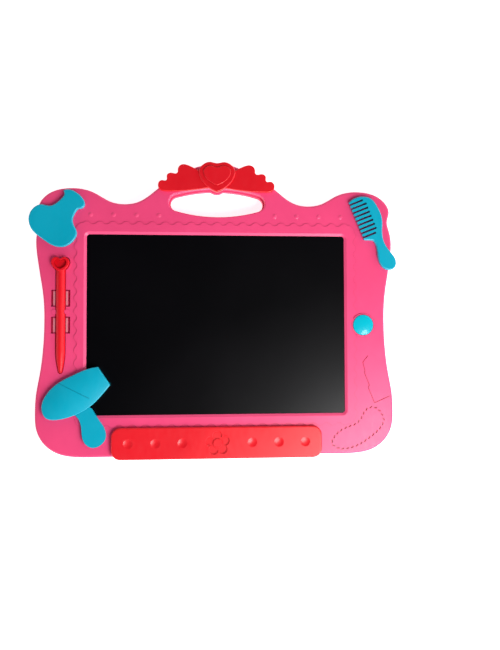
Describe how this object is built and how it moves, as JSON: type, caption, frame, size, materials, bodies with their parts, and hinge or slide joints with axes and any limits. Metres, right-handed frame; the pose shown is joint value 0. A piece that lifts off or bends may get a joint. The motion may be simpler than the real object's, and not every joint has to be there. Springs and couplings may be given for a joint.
{
  "type": "toy drawing tablet",
  "caption": "Toy LCD drawing tablet with a handle, a clip-in pen, moulded dressing-table ornaments, an erase button and a battery door.",
  "frame": {"origin": "on the resting face of the rear casing, straight under the middle of the screen", "axes": "+Z out of the screen, +Y towards the handle, +X to the right of someone facing the screen"},
  "size_m": [0.3538, 0.2853, 0.0222],
  "materials": {
    "casing_plastic": "smooth gloss",
    "rear_plastic": "satin",
    "ornament_red": "smooth gloss",
    "ornament_teal": "smooth gloss",
    "button_plastic": "smooth gloss",
    "pen_plastic": "smooth gloss",
    "screen_film": "glossy film",
    "dark_plastic": "matte",
    "board_green": "satin solder resist",
    "contact_metal": "plated spring steel",
    "screw_metal": "zinc plated",
    "lead_insulation": "matte",
    "tape_foam": "matte"
  },
  "bodies": {
    "tablet": {"front_case": "casing_plastic", "rear_case": "rear_plastic", "lcd_panel": "screen_film", "panel_tape": "tape_foam", "backing_board": "dark_plastic", "panel_tail": "lead_insulation", "circuit_board": "board_green", "chip_cover": "dark_plastic", "chip_components": "dark_plastic", "tact_switch": "dark_plastic", "slide_switch": "contact_metal", "coin_cell": "contact_metal", "contact_minus": "contact_metal", "contact_plus": "contact_metal", "plus_lead": "lead_insulation", "minus_lead": "lead_insulation", "case_screws": "screw_metal", "ornament_screws": "screw_metal", "wing_left": "ornament_red", "wing_right": "ornament_red", "heart_badge": "ornament_red", "bottle_badge": "ornament_teal", "comb_badge": "ornament_teal", "dryer_badge": "ornament_teal", "bottom_bar": "ornament_red"},
    "eraser": {"erase_button": "button_plastic", "tact_plunger": "dark_plastic"},
    "pen": {"pen": "pen_plastic"},
    "lock": {"lock_slider": "dark_plastic", "switch_lever": "dark_plastic"},
    "door": {"battery_door": "rear_plastic"},
    "door_screw": {"battery_door_screw": "screw_metal"}
  },
  "joints": [
    {"name": "erase_button_press", "type": "slide", "parent": "tablet", "child": "eraser", "axis": [0, 0, -1], "range_m": [0, 0.0008], "stiffness_N_per_m": 2000},
    {"name": "pen_lift", "type": "slide", "parent": "tablet", "child": "pen", "axis": [0, 0, 1], "range_m": [0, 0.04]},
    {"name": "lock_slide", "type": "slide", "parent": "tablet", "child": "lock", "axis": [0, 1, 0], "range_m": [0, 0.003]},
    {"name": "battery_door_swing", "type": "hinge", "parent": "tablet", "child": "door", "pos_m": [0.147, -0.0355, 0.001], "axis": [1, 0, 0], "range_deg": [0, 80]},
    {"name": "door_screw_turn", "type": "hinge", "parent": "door", "child": "door_screw", "pos_m": [0.147, -0.071, 0], "axis": [0, 0, 1], "continuous": true}
  ]
}
